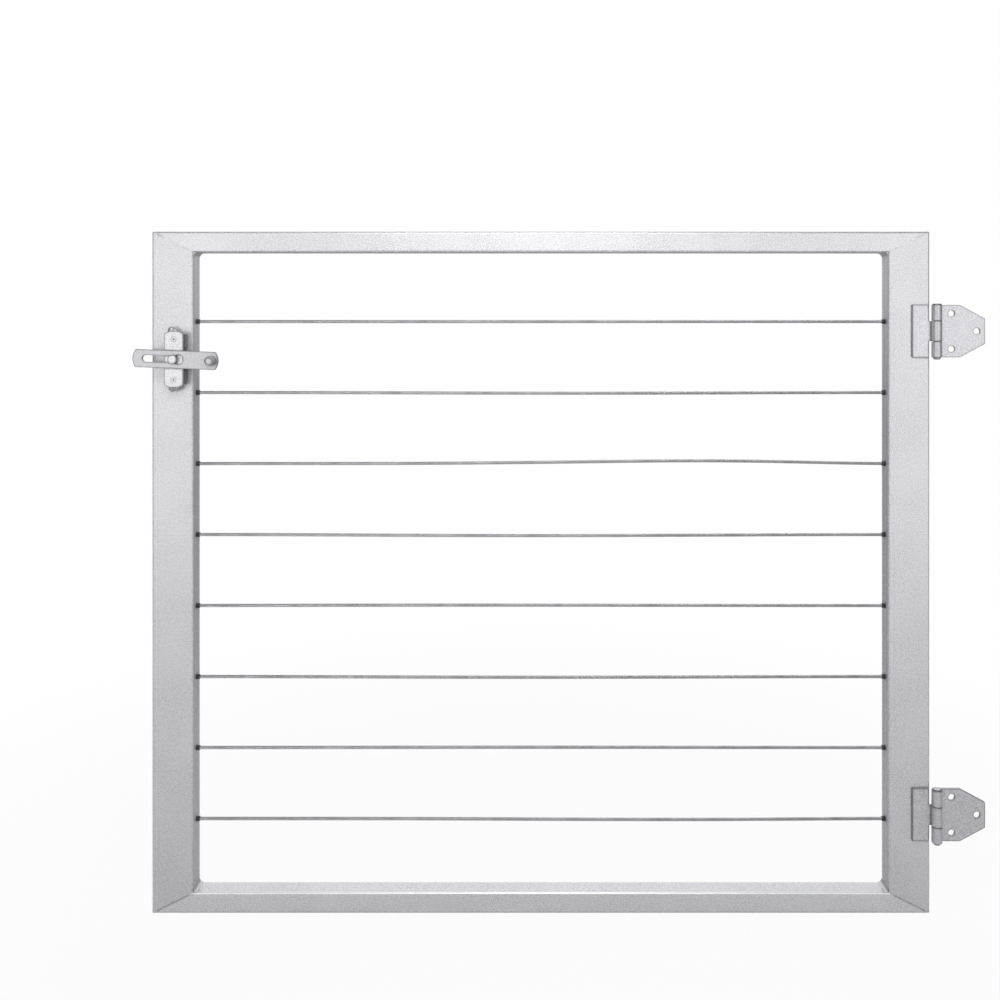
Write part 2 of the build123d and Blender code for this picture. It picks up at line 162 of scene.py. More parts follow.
def new_group(name, inputs, outputs):
    """A shader node group with named float inputs and outputs of the given kinds."""
    group = bpy.data.node_groups.new(name, "ShaderNodeTree")
    for label, default in inputs.items():
        socket = group.interface.new_socket(name=label, in_out="INPUT", socket_type="NodeSocketFloat")
        socket.default_value = default
    for label, kind in outputs.items():
        group.interface.new_socket(name=label, in_out="OUTPUT", socket_type="NodeSocket" + kind)
    return group, group.nodes.new("NodeGroupInput"), group.nodes.new("NodeGroupOutput")


def noise(tree, coordinates, scale, detail=2.0, roughness=0.5):
    """Cloudy noise at the given coordinates."""
    node = tree.nodes.new("ShaderNodeTexNoise")
    node.inputs["Scale"].default_value = scale
    node.inputs["Detail"].default_value = detail
    node.inputs["Roughness"].default_value = roughness
    tree.links.new(coordinates, node.inputs["Vector"])
    return node


def remap(tree, value, low, high, to_low, to_high):
    """Stretch low..high of a value to to_low..to_high, and hold it there outside."""
    node = tree.nodes.new("ShaderNodeMapRange")
    for label, number in (("From Min", low), ("From Max", high), ("To Min", to_low), ("To Max", to_high)):
        node.inputs[label].default_value = number
    tree.links.new(value, node.inputs["Value"])
    return node


def math_node(tree, operation, first, second):
    node = tree.nodes.new("ShaderNodeMath")
    node.operation = operation
    for socket, value in zip(node.inputs, (first, second)):
        if isinstance(value, (int, float)):
            socket.default_value = value
        else:
            tree.links.new(value, socket)
    return node.outputs[0]


def mix_colour(tree, factor, first, second):
    """From the first colour to the second as the factor goes from 0 to 1."""
    node = tree.nodes.new("ShaderNodeMix")
    node.data_type = "RGBA"
    tree.links.new(factor, node.inputs["Factor"])
    for socket, value in ((node.inputs["A"], first), (node.inputs["B"], second)):
        if isinstance(value, tuple):
            socket.default_value = (*value, 1.0)
        else:
            tree.links.new(value, socket)
    return node.outputs["Result"]


# ---------------------------------------------------------------- shared effects

PAINTED_SHADE_SAMPLES = 6


def coat_grain_group():
    """Powder coat: a fine metallic mottle, sparse flakes, a pebbled surface and slow drifts in tone."""
    flake_scale, mottle_scale, cloud_scale = 2400.0, 820.0, 240.0
    flake_share, mottle_share, cloud_share = 0.14, 0.74, 0.12
    dark_level, light_level = 0.41, 0.59
    pebble_scale, ripple_scale, drift_scale = 1100.0, 140.0, 18.0
    group, entry, result = new_group(
        "coat_grain",
        {"Flake Scale": flake_scale, "Pebble Scale": pebble_scale, "Drift Scale": drift_scale},
        {"Flake": "Float", "Height": "Float", "Drift": "Float"},
    )
    place = group.nodes.new("ShaderNodeTexCoord").outputs["Object"]

    flakes = group.nodes.new("ShaderNodeTexVoronoi")
    flakes.feature = "F1"
    group.links.new(place, flakes.inputs["Vector"])
    group.links.new(entry.outputs["Flake Scale"], flakes.inputs["Scale"])
    split = group.nodes.new("ShaderNodeSeparateColor")
    group.links.new(flakes.outputs["Color"], split.inputs["Color"])
    mottle = noise(group, place, mottle_scale, 1.0, 0.5)
    cloud = noise(group, place, cloud_scale, 1.0, 0.5)
    flake = math_node(group, "MULTIPLY", split.outputs["Red"], flake_share)
    mottle = math_node(group, "MULTIPLY", mottle.outputs["Fac"], mottle_share)
    cloud = math_node(group, "MULTIPLY", cloud.outputs["Fac"], cloud_share)
    level = math_node(group, "ADD", math_node(group, "ADD", flake, mottle), cloud)
    level = remap(group, level, dark_level, light_level, 0.0, 1.0)
    group.links.new(level.outputs[0], result.inputs["Flake"])

    pebble = noise(group, place, pebble_scale, 2.0, 0.55)
    group.links.new(entry.outputs["Pebble Scale"], pebble.inputs["Scale"])
    ripple = noise(group, place, ripple_scale, 1.0)
    fine = math_node(group, "MULTIPLY", pebble.outputs["Fac"], 0.6)
    broad = math_node(group, "MULTIPLY", ripple.outputs["Fac"], 0.4)
    group.links.new(math_node(group, "ADD", fine, broad), result.inputs["Height"])

    drift = noise(group, place, drift_scale, 2.0)
    group.links.new(entry.outputs["Drift Scale"], drift.inputs["Scale"])
    group.links.new(drift.outputs["Fac"], result.inputs["Drift"])
    return group


def rub_marks_group():
    """Fine rub lines drawn out along X, for parts that slide or turn on each other."""
    line_scale, drawn_out = 260.0, 0.12
    group, entry, result = new_group(
        "rub_marks",
        {"Line Scale": line_scale, "Strength": 1.0},
        {"Mask": "Float"},
    )
    place = group.nodes.new("ShaderNodeTexCoord").outputs["Object"]
    stretch = group.nodes.new("ShaderNodeMapping")
    stretch.inputs["Scale"].default_value = (drawn_out, 1.0, 1.0)
    group.links.new(place, stretch.inputs["Vector"])
    lines = noise(group, stretch.outputs["Vector"], line_scale, 4.0, 0.7)
    group.links.new(entry.outputs["Line Scale"], lines.inputs["Scale"])
    sharp = remap(group, lines.outputs["Fac"], 0.58, 0.72, 0.0, 1.0)
    mask = math_node(group, "MULTIPLY", sharp.outputs[0], entry.outputs["Strength"])
    group.links.new(mask, result.inputs["Mask"])
    return group


def settled_dust_group():
    """Faint pale dust where a surface faces up."""
    patch_scale = 60.0
    group, entry, result = new_group(
        "settled_dust",
        {"Amount": 0.3, "Scale": patch_scale},
        {"Mask": "Float"},
    )
    geometry = group.nodes.new("ShaderNodeNewGeometry")
    split = group.nodes.new("ShaderNodeSeparateXYZ")
    group.links.new(geometry.outputs["Normal"], split.inputs["Vector"])
    facing_up = remap(group, split.outputs["Z"], 0.5, 1.0, 0.0, 1.0)
    place = group.nodes.new("ShaderNodeTexCoord").outputs["Object"]
    patches = noise(group, place, patch_scale, 4.0, 0.65)
    group.links.new(entry.outputs["Scale"], patches.inputs["Scale"])
    speckle = remap(group, patches.outputs["Fac"], 0.4, 0.7, 0.2, 1.0)
    level = math_node(group, "MULTIPLY", facing_up.outputs[0], speckle.outputs[0])
    mask = math_node(group, "MULTIPLY", level, entry.outputs["Amount"])
    group.links.new(mask, result.inputs["Mask"])
    return group


def painted_shade_group():
    """Masks for painted shade: Crevice is full where surfaces crowd together, and Edge is full along sharp
    outward edges.
    """
    group, entry, result = new_group(
        "painted_shade",
        {"Crevice Reach": 2.2 * MM, "Edge Reach": 1.6 * MM},
        {"Crevice": "Float", "Edge": "Float"},
    )
    for label, inside, low, high in (("Crevice", False, 0.25, 0.9), ("Edge", True, 0.6, 0.98)):
        cover = group.nodes.new("ShaderNodeAmbientOcclusion")
        cover.samples = PAINTED_SHADE_SAMPLES
        cover.inside = inside
        group.links.new(entry.outputs[label + " Reach"], cover.inputs["Distance"])
        mask = remap(group, cover.outputs["AO"], low, high, 1.0, 0.0)
        group.links.new(mask.outputs[0], result.inputs[label])
    return group


def mitre_seams_group():
    """The mitres between uprights and rails, as masks.

    Seam is full on all four, Filled on the upper two, and Bright on the upper two, where the seam is drawn
    lighter, from near each outer corner to near its inner corner.
    """
    face = latch_high.x - latch_low.x              # the width of an upright's front
    slope = (top_high.z - top_low.z) / face        # of the mitre's line
    full_half, faded_half = 0.6 * MM, 1.4 * MM     # half the seam's width where it is full, and in all
    wander_scale, wander_reach = 260.0, 1.6 * MM
    bright_from, bright_full = 9 * MM, 17 * MM     # in from the gate's side
    dims_from, dims_out = face - 12 * MM, face - 6 * MM
    group, entry, result = new_group(
        "mitre_seams",
        {"Strength": 1.0},
        {"Bright": "Float", "Filled": "Float", "Seam": "Float"},
    )
    place = group.nodes.new("ShaderNodeTexCoord").outputs["Object"]
    split = group.nodes.new("ShaderNodeSeparateXYZ")
    group.links.new(place, split.inputs["Vector"])

    def in_from_rim(axis, middle, span):
        """How far inside the gate's outline a point is, along one axis."""
        from_middle = math_node(group, "SUBTRACT", split.outputs[axis], middle)
        return math_node(group, "SUBTRACT", span / 2, math_node(group, "ABSOLUTE", from_middle, 0))

    in_from_side = in_from_rim("X", gate_middle.x, gate_width)
    in_from_end = in_from_rim("Z", gate_middle.z, gate_height)
    on_line = math_node(group, "MULTIPLY", in_from_side, slope)
    off_line = math_node(group, "SUBTRACT", in_from_end, on_line)
    wander = noise(group, place, wander_scale, 2.0, 0.6)
    wobble = math_node(group, "SUBTRACT", wander.outputs["Fac"], 0.5)
    wobble = math_node(group, "MULTIPLY", wobble, wander_reach)
    off_line = math_node(group, "ABSOLUTE", math_node(group, "ADD", off_line, wobble), 0)
    seam = remap(group, off_line, full_half, faded_half, 1.0, 0.0)
    seam.interpolation_type = "SMOOTHSTEP"

    starts = remap(group, in_from_side, bright_from, bright_full, 0.0, 1.0)
    ends = remap(group, in_from_side, dims_from, dims_out, 1.0, 0.0)
    bright = math_node(group, "MULTIPLY", starts.outputs[0], ends.outputs[0])
    bright = math_node(group, "MULTIPLY", seam.outputs[0], bright)
    patchy = remap(group, wander.outputs["Fac"], 0.3, 0.5, 0.55, 1.0)
    patchy = math_node(group, "MULTIPLY", patchy.outputs[0], entry.outputs["Strength"])
    bright = math_node(group, "MULTIPLY", bright, patchy)
    upper = remap(group, split.outputs["Z"], gate_middle.z, gate_middle.z + 1 * MM, 0.0, 1.0)
    for label, mask in (("Bright", bright), ("Filled", seam.outputs[0])):
        group.links.new(math_node(group, "MULTIPLY", mask, upper.outputs[0]), result.inputs[label])
    group.links.new(seam.outputs[0], result.inputs["Seam"])
    return group


COAT_GRAIN = coat_grain_group()
RUB_MARKS = rub_marks_group()
SETTLED_DUST = settled_dust_group()
PAINTED_SHADE = painted_shade_group()
MITRE_SEAMS = mitre_seams_group()


def place_group(tree, group, **values):
    """Put a shared effect into a material, with the material's own values for its inputs."""
    node = tree.nodes.new("ShaderNodeGroup")
    node.node_tree = group
    for label, value in values.items():
        node.inputs[label.replace("_", " ")].default_value = value
    return node


def blank_material(name):
    """A new material, its node tree and its main shader."""
    material = bpy.data.materials.new(name)
    material.use_nodes = True
    tree = material.node_tree
    return material, tree, tree.nodes["Principled BSDF"]


def bump(tree, shader, height, strength, distance):
    """Let a height move the shader's normal."""
    node = tree.nodes.new("ShaderNodeBump")
    node.inputs["Strength"].default_value = strength
    node.inputs["Distance"].default_value = distance
    tree.links.new(height, node.inputs["Height"])
    tree.links.new(node.outputs["Normal"], shader.inputs["Normal"])


# ---------------------------------------------------------------- materials

DUST_TONE = (0.78, 0.77, 0.75)
SEAM_TONE = (0.84, 0.84, 0.86)
RUB_TONE = (0.46, 0.46, 0.48)
# painted shade: the dark tones drawn along sharp edges and into crevices, and how far crevices go towards
# theirs
EDGE_SHADE = (0.12, 0.12, 0.125)
CREVICE_SHADE = (0.06, 0.06, 0.065)
CREVICE_DEPTH = 0.85
# the painted highlight's tone on the bottom rail's upper front edge
PAINTED_HIGHLIGHT_TONE = (0.97, 0.97, 0.98)
COAT_DUST, PLASTIC_DUST = 0.18, 0.12
PEBBLE_STRENGTH = 0.35
DRAWN_GLOSS = 0.6            # how far the gloss on drawn tube is spread round the tube


def spread_gloss(tree, shader, along):
    """Spread the gloss round a drawn tube and keep it short along it."""
    around = tree.nodes.new("ShaderNodeVectorMath")
    around.operation = "CROSS_PRODUCT"
    around.inputs[1].default_value = along
    tree.links.new(tree.nodes.new("ShaderNodeNewGeometry").outputs["Normal"], around.inputs[0])
    tree.links.new(around.outputs["Vector"], shader.inputs["Tangent"])
    shader.inputs["Anisotropic"].default_value = DRAWN_GLOSS


def painted_highlight_rim(tree, height):
    """Where a highlight is painted: a mask that is full on the front edge just below a height."""
    split = tree.nodes.new("ShaderNodeSeparateXYZ")
    tree.links.new(tree.nodes.new("ShaderNodeTexCoord").outputs["Object"], split.inputs["Vector"])
    near_top = remap(tree, split.outputs["Z"], height - 1.9 * MM, height - 0.7 * MM, 0.0, 1.0)
    near_front = remap(tree, split.outputs["Y"], gate_front + 1.4 * MM, gate_front + 3.0 * MM, 1.0, 0.0)
    return math_node(tree, "MULTIPLY", near_top.outputs[0], near_front.outputs[0])


def powder_coat(name, dark, light, rough, pebble_depth=0.05 * MM, metallic=0.62, rubbed=0.0,
                drawn_along=None, edge=0.85, painted_highlight_height=None):
    """Silver powder coat between two flake tones, with pebbled gloss, drifts, dust, painted shade and rub
    lines.

    On drawn tube the gloss is spread round the tube and kept short along it, and the mitres show their
    seams. Sharp edges and crevices are darkened with painted shade. A painted highlight lightens the front
    rim just below the given height.
    """
    material, tree, shader = blank_material(name)
    grain = place_group(tree, COAT_GRAIN)
    tone = mix_colour(tree, grain.outputs["Flake"], dark, light)
    drift = remap(tree, grain.outputs["Drift"], 0.35, 0.65, 0.0, 0.22)
    tone = mix_colour(tree, drift.outputs[0], tone, light)
    dust = place_group(tree, SETTLED_DUST, Amount=COAT_DUST)
    tone = mix_colour(tree, dust.outputs["Mask"], tone, DUST_TONE)
    roughness = remap(tree, grain.outputs["Flake"], 0.0, 1.0, rough - 0.05, rough + 0.05).outputs[0]
    if drawn_along:
        spread_gloss(tree, shader, drawn_along)
        seams = place_group(tree, MITRE_SEAMS)
        tone = mix_colour(tree, seams.outputs["Bright"], tone, SEAM_TONE)
    if rubbed:
        rub = place_group(tree, RUB_MARKS, Strength=rubbed)
        tone = mix_colour(tree, rub.outputs["Mask"], tone, RUB_TONE)
        polish = math_node(tree, "MULTIPLY", rub.outputs["Mask"], 0.12)
        roughness = math_node(tree, "SUBTRACT", roughness, polish)
    # Painted shade: sharp edges and crevices are darkened in the base colour, and kept off the mitre seams
    painted_shade = place_group(tree, PAINTED_SHADE)
    for label, kept_off, depth, shade in (("Edge", "Seam", edge, EDGE_SHADE),
                                          ("Crevice", "Filled", CREVICE_DEPTH, CREVICE_SHADE)):
        mask = math_node(tree, "MULTIPLY", painted_shade.outputs[label], depth)
        if drawn_along:
            clear = math_node(tree, "SUBTRACT", 1.0, seams.outputs[kept_off])
            mask = math_node(tree, "MULTIPLY", mask, clear)
        tone = mix_colour(tree, mask, tone, shade)
    # A painted highlight along the front rim just below the given height
    if painted_highlight_height is not None:
        tone = mix_colour(tree, painted_highlight_rim(tree, painted_highlight_height), tone, PAINTED_HIGHLIGHT_TONE)
    tree.links.new(tone, shader.inputs["Base Color"])
    tree.links.new(roughness, shader.inputs["Roughness"])
    shader.inputs["Metallic"].default_value = metallic
    bump(tree, shader, grain.outputs["Height"], PEBBLE_STRENGTH, pebble_depth)
    return material


def strand_steel():
    """Stainless wire: bright crowns, painted shade in the grooves between the wires and slow patches of
    tarnish.
    """
    material, tree, shader = blank_material("stranded_stainless")
    place = tree.nodes.new("ShaderNodeTexCoord").outputs["Object"]
    patches = noise(tree, place, 45.0, 3.0, 0.6)
    tarnish = remap(tree, patches.outputs["Fac"], 0.35, 0.7, 0.0, 0.7)
    tone = mix_colour(tree, tarnish.outputs[0], (0.50, 0.50, 0.51), (0.33, 0.33, 0.34))
    # painted shade: the grooves between the wires are drawn near black
    geometry = tree.nodes.new("ShaderNodeNewGeometry")
    groove_shade = remap(tree, geometry.outputs["Pointiness"], 0.44, 0.52, 1.0, 0.0)
    tone = mix_colour(tree, groove_shade.outputs[0], tone, (0.06, 0.06, 0.065))
    tree.links.new(tone, shader.inputs["Base Color"])
    shader.inputs["Metallic"].default_value = 0.9
    roughness = remap(tree, patches.outputs["Fac"], 0.3, 0.7, 0.3, 0.46)
    tree.links.new(roughness.outputs[0], shader.inputs["Roughness"])
    scratches = noise(tree, place, 2600.0, 2.0)
    bump(tree, shader, scratches.outputs["Fac"], 0.15, 0.03 * MM)
    return material


def turned_steel():
    """Lathe-turned fittings inside the tubes and behind the latch."""
    material, tree, shader = blank_material("turned_steel")
    place = tree.nodes.new("ShaderNodeTexCoord").outputs["Object"]
    cuts = noise(tree, place, 700.0, 3.0, 0.6)
    tone = mix_colour(tree, cuts.outputs["Fac"], (0.48, 0.48, 0.49), (0.62, 0.62, 0.63))
    tree.links.new(tone, shader.inputs["Base Color"])
    shader.inputs["Metallic"].default_value = 1.0
    roughness = remap(tree, cuts.outputs["Fac"], 0.3, 0.7, 0.28, 0.42)
    tree.links.new(roughness.outputs[0], shader.inputs["Roughness"])
    bump(tree, shader, cuts.outputs["Fac"], 0.2, 0.04 * MM)
    return material


def moulded_plastic(name, dark, light, rough):
    """Fine-grained moulded plastic with a little dust."""
    material, tree, shader = blank_material(name)
    place = tree.nodes.new("ShaderNodeTexCoord").outputs["Object"]
    grain = noise(tree, place, 1200.0, 2.0)
    tone = mix_colour(tree, grain.outputs["Fac"], dark, light)
    dust = place_group(tree, SETTLED_DUST, Amount=PLASTIC_DUST)
    tone = mix_colour(tree, dust.outputs["Mask"], tone, (0.5, 0.5, 0.48))
    tree.links.new(tone, shader.inputs["Base Color"])
    roughness = remap(tree, grain.outputs["Fac"], 0.3, 0.7, rough - 0.06, rough + 0.06)
    tree.links.new(roughness.outputs[0], shader.inputs["Roughness"])
    bump(tree, shader, grain.outputs["Fac"], 0.25, 0.04 * MM)
    return material


TUBE_TONES = ((0.50, 0.50, 0.525), (0.78, 0.78, 0.805))
PLATE_TONES = ((0.49, 0.49, 0.515), (0.75, 0.75, 0.775))
UPRIGHT_COAT = powder_coat("silver_upright_coat", *TUBE_TONES, 0.42, drawn_along=(0, 0, 1))
TOP_RAIL_COAT = powder_coat("silver_top_rail_coat", *TUBE_TONES, 0.42, drawn_along=(1, 0, 0))
# The bottom rail carries a painted highlight along its upper front edge
LOW_RAIL_COAT = powder_coat("silver_low_rail_coat", *TUBE_TONES, 0.42, drawn_along=(1, 0, 0),
                            painted_highlight_height=bottom_high.z)
CORNER_COAT = powder_coat("silver_corner_coat", *TUBE_TONES, 0.42, edge=0.2)
PLATE_COAT = powder_coat("silver_plate_coat", *PLATE_TONES, 0.40)
LATCH_COAT = powder_coat("silver_latch_coat", (0.36, 0.36, 0.38), (0.56, 0.56, 0.58), 0.38, rubbed=0.5)
SCREW_COAT = powder_coat("silver_screw_coat", *PLATE_TONES, 0.36, edge=0.25)
HINGE_COAT = powder_coat("silver_hinge_coat", (0.44, 0.44, 0.465), (0.67, 0.67, 0.695), 0.42, metallic=0.72)
KNOB_COAT = powder_coat("silver_knob_coat", (0.38, 0.38, 0.40), (0.58, 0.58, 0.60), 0.42,
                        metallic=0.82, rubbed=0.4)
# The stand-off blocks get a darker copy of the coat: painted shade for the plate's shadow on them
SHADED_BLOCK_COAT = powder_coat("block_coat_painted_shade", (0.18, 0.18, 0.195), (0.32, 0.32, 0.335), 0.46)
WELD_COAT = powder_coat("silver_weld_coat", (0.34, 0.34, 0.36), (0.52, 0.52, 0.54), 0.5,
                        pebble_depth=0.12 * MM, edge=0.4)
ROPE_STEEL = strand_steel()
TURNED_STEEL = turned_steel()
BUSH_PLASTIC = moulded_plastic("black_bush_plastic", (0.012, 0.012, 0.013), (0.03, 0.03, 0.032), 0.5)
PLUG_PLASTIC = moulded_plastic("grey_plug_plastic", (0.36, 0.36, 0.38), (0.44, 0.44, 0.46), 0.48)

FINISHES = {
    UPRIGHT_COAT: ("latch_stile", "hinge_stile"),
    TOP_RAIL_COAT: ("top_rail",),
    LOW_RAIL_COAT: ("bottom_rail",),
    PLATE_COAT: ("latch_base_plate", "latch_stud"),
    HINGE_COAT: ("upper_gate_leaf", "lower_gate_leaf", "upper_post_leaf", "lower_post_leaf",
                 "upper_hinge_pin", "lower_hinge_pin"),
    KNOB_COAT: ("latch_knob",),
    SHADED_BLOCK_COAT: ("upper_standoff", "lower_standoff"),
    LATCH_COAT: ("latch_bar",),
    SCREW_COAT: ("latch_screws",),
    TURNED_STEEL: ("stud_spring_washer", "stud_tail_washer", "stud_lock_nut", "rope_stops", "stop_washers",
                   "tension_terminals", "tension_nuts", "tension_washers"),
    BUSH_PLASTIC: ("latch_side_bushes", "hinge_side_bushes"),
    PLUG_PLASTIC: ("latch_side_plugs", "hinge_side_plugs"),
}


def finish_node(node, material):
    """Give the node this material only."""
    node.data.materials.clear()
    node.data.materials.append(material)


for coat, members in FINISHES.items():
    for member in members:
        finish_node(nodes[member], coat)


# ---------------------------------------------------------------- stranded wire ropes

WIRES_ROUND = 12             # outer wires in a 1 x 19 rope
POINTS_PER_WIRE = 5
FLUTE_DEPTH = 0.96           # how far the grooves between wires go down, 1 being all the way
ROPE_LAY = 34 * MM           # length of one turn of the outer wires
RINGS_PER_LAY = 15
ROPE_SMOOTH_ANGLE = 60
ROPE_ROLL = 1.7              # how far each rope is rolled on from the one above, in radians
# how far, in mm, each rope is off a straight line at its widest, upwards, from the top rope to the bottom
# one, and where along its length that is
ROPE_BOWS = [0.0, -0.8, 3.4, -1.3, 0.5, -0.9, 0.4, -1.2]
ROPE_BOW_PEAKS = [0.5, 0.55, 0.72, 0.5, 0.4, 0.5, 0.5, 0.68]


def rope_master(length, radius):
    """A fluted tube along X from the origin, one flute a wire, twisted by the rope's lay and closed."""
    rings = round(length / ROPE_LAY * RINGS_PER_LAY)
    step = length / rings
    points = WIRES_ROUND * POINTS_PER_WIRE
    deselect_all()
    bpy.ops.mesh.primitive_cylinder_add(
        vertices=points, radius=radius, depth=step, end_fill_type="NOTHING",
        location=(step / 2, 0, 0), rotation=(0, math.radians(90), 0),
    )
    rope = named("rope_master")
    settle(rope)
    wire_radius = radius * math.sin(math.pi / WIRES_ROUND) / (1 + math.sin(math.pi / WIRES_ROUND))
    for vertex in rope.data.vertices:
        angle = math.atan2(vertex.co.z, vertex.co.y)
        across = (angle * WIRES_ROUND / (2 * math.pi)) % 1.0 - 0.5
        crown = math.sqrt(max(0.0, 1 - (2 * across) ** 2 * FLUTE_DEPTH))
        reach = (radius - wire_radius) + wire_radius * crown
        vertex.co.y = reach * math.cos(angle)
        vertex.co.z = reach * math.sin(angle)
    repeat = rope.modifiers.new("rings", "ARRAY")
    repeat.count = rings
    repeat.use_relative_offset = False
    repeat.use_constant_offset = True
    repeat.constant_offset_displace = (step, 0, 0)
    repeat.use_merge_vertices = True
    repeat.merge_threshold = step * 0.01
    lay = rope.modifiers.new("lay", "SIMPLE_DEFORM")
    lay.deform_method = "TWIST"
    lay.deform_axis = "X"
    lay.angle = 2 * math.pi * length / ROPE_LAY
    apply_modifiers(rope)
    bpy.ops.object.mode_set(mode="EDIT")
    bpy.ops.mesh.select_all(action="DESELECT")
    bpy.ops.mesh.select_non_manifold(extend=False)
    bpy.ops.mesh.edge_face_add()
    bpy.ops.object.mode_set(mode="OBJECT")
    outward_normals(rope)
    return rope


def ropes():
    """Eight copies of the master rope, rolled and bowed each in its own way."""
    first_low, first_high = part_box("rope_1")
    length = first_high.x - first_low.x
    master = rope_master(length, (first_high.z - first_low.z) / 2)
    for number, (bow, peak) in enumerate(zip(ROPE_BOWS, ROPE_BOW_PEAKS), start=1):
        low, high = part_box(f"rope_{number}")
        rope = copy_of(master, f"wire_rope_{number}")
        bend = math.log(0.5) / math.log(peak)      # puts the widest point at that share of the length
        turn = Matrix.Rotation(number * ROPE_ROLL, 3, "X")
        for vertex in rope.data.vertices:
            share = min(max(vertex.co.x / length, 0.0), 1.0)
            vertex.co = turn @ vertex.co
            rise = bow * MM * math.sin(math.pi * share ** bend) ** 2
            vertex.co += Vector((low.x, (low.y + high.y) / 2, (low.z + high.z) / 2 + rise))
        finish_node(rope, ROPE_STEEL)
        shade_smooth(rope, ROPE_SMOOTH_ANGLE)
        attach(rope, "gate")
        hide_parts(f"rope_{number}")
    bpy.data.objects.remove(master)


ropes()


# ---------------------------------------------------------------- weld metal

BEAD_VOXEL = 0.6 * MM
BEAD_RIPPLE = 0.22 * MM      # how far the ripples stand from the smooth lumps
RIPPLE_LENGTH = 1.6 * MM
BEAD_SMOOTH_ANGLE = 60


def lumpy_bead(name, blobs, seed):
    """Weld metal from overlapping ellipsoids: joined, remeshed into one skin, rippled and smoothed."""
    deselect_all()
    parts = []
    for place, size in blobs:
        bpy.ops.mesh.primitive_ico_sphere_add(subdivisions=3, radius=1.0, location=place)
        blob = bpy.context.active_object
        blob.scale = size
        parts.append(blob)
        deselect_all()
    for blob in parts:
        blob.select_set(True)
    bpy.context.view_layer.objects.active = parts[0]
    if len(parts) > 1:
        bpy.ops.object.join()
    bead = named(name)
    settle(bead)
    skin = bead.modifiers.new("skin", "REMESH")
    skin.mode = "VOXEL"
    skin.voxel_size = BEAD_VOXEL
    apply_modifiers(bead)
    dice = random.Random(seed)
    phase = [dice.uniform(0, 6.28) for _ in range(3)]
    for vertex in bead.data.vertices:
        place = vertex.co / RIPPLE_LENGTH
        wave = (math.sin(place.x + phase[0]) * math.sin(place.y * 1.3 + phase[1])
                + 0.5 * math.sin(place.z * 2.1 + phase[2]))
        vertex.co += vertex.normal * BEAD_RIPPLE * wave
    relax = bead.modifiers.new("relax", "SMOOTH")
    relax.factor = 0.5
    relax.iterations = 2
    apply_modifiers(bead)
    outward_normals(bead)
    shade_smooth(bead, BEAD_SMOOTH_ANGLE)
    return bead


# each lump of a latch weld: how far across it is from the stud, half its width, how near and how far it
# reaches past the stand-off block, all in mm, and its thickness as a share of the bead's depth
UPPER_WELD = (
    (-5.4, 4.6, 0.0, 10.1, 0.8), (-0.6, 2.6, 1.0, 8.0, 0.6),
    (2.2, 2.2, 0.4, 4.6, 0.5), (-3.8, 6.4, -1.0, 4.0, 0.7),
)
LOWER_WELD = (
    (-4.2, 4.5, 0.0, 10.6, 0.85), (1.9, 3.3, 0.2, 8.6, 0.7), (-2.8, 6.4, -1.0, 4.4, 0.7),
)
WELD_SINK = 0.42             # where a lump's middle lies from the stile, in its own thickness


def latch_welds():
    """The rough beads past the stand-off blocks' outer ends."""
    stud_low, stud_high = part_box("latch_stud")
    stud_x = (stud_low.x + stud_high.x) / 2
    for end, side, lumps, seed in (("upper", 1, UPPER_WELD, 3), ("lower", -1, LOWER_WELD, 8)):
        node = f"{end}_weld_bead"
        low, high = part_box(node)
        depth = high.y - low.y
        block_low, block_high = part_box(f"{end}_standoff")
        root_z = block_high.z if side > 0 else block_low.z
        blobs = []
        for across, half_width, near, far, thick in lumps:
            middle = Vector((stud_x + across * MM, high.y - WELD_SINK * thick * depth,
                             root_z + side * (near + far) / 2 * MM))
            reach = Vector((half_width * MM, 0.5 * thick * depth, (far - near) / 2 * MM))
            blobs.append((middle, reach))
        bead = lumpy_bead(f"latch_weld_{end}", blobs, seed)
        finish_node(bead, WELD_COAT)
        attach(bead, "gate")
        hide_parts(node)


latch_welds()


FILLET_LEG = 4.4 * MM
FILLET_INSET = 0.25 * MM     # how far each end stops short of the tubes' faces
SCOOP_OFFSET = 1.04          # where the hollow's centre lies from the corner, in legs


def corner_fillets():
    """A concave weld fillet down each inside corner of the frame."""
    leg = FILLET_LEG
    depth = gate_back - gate_front - 2 * FILLET_INSET
    middle_y = (gate_front + gate_back) / 2
    inner_left, inner_right = latch_high.x, hinge_low.x
    inner_bottom, inner_top = bottom_high.z, top_low.z
    corners = (
        ("upper_left", inner_left, inner_top, 1, -1), ("upper_right", inner_right, inner_top, -1, -1),
        ("lower_left", inner_left, inner_bottom, 1, 1), ("lower_right", inner_right, inner_bottom, -1, 1),
    )
    for name, x, z, toward_x, toward_z in corners:
        deselect_all()
        bpy.ops.mesh.primitive_cube_add(size=1.0, location=(
            x + toward_x * leg / 2, middle_y, z + toward_z * leg / 2
        ))
        fillet = named(f"corner_weld_{name}")
        fillet.scale = (leg, depth, leg)
        settle(fillet)
        deselect_all()
        bpy.ops.mesh.primitive_cylinder_add(
            vertices=96, radius=leg, depth=depth * 1.4, rotation=(math.radians(90), 0, 0),
            location=(x + toward_x * leg * SCOOP_OFFSET, middle_y, z + toward_z * leg * SCOOP_OFFSET),
        )
        scoop = bpy.context.active_object
        hollow = fillet.modifiers.new("hollow", "BOOLEAN")
        hollow.operation = "DIFFERENCE"
        hollow.object = scoop
        apply_modifiers(fillet)
        bpy.data.objects.remove(scoop)
        outward_normals(fillet)
        shade_smooth(fillet)
        finish_node(fillet, CORNER_COAT)
        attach(fillet, "gate")


corner_fillets()


# ---------------------------------------------------------------- studio

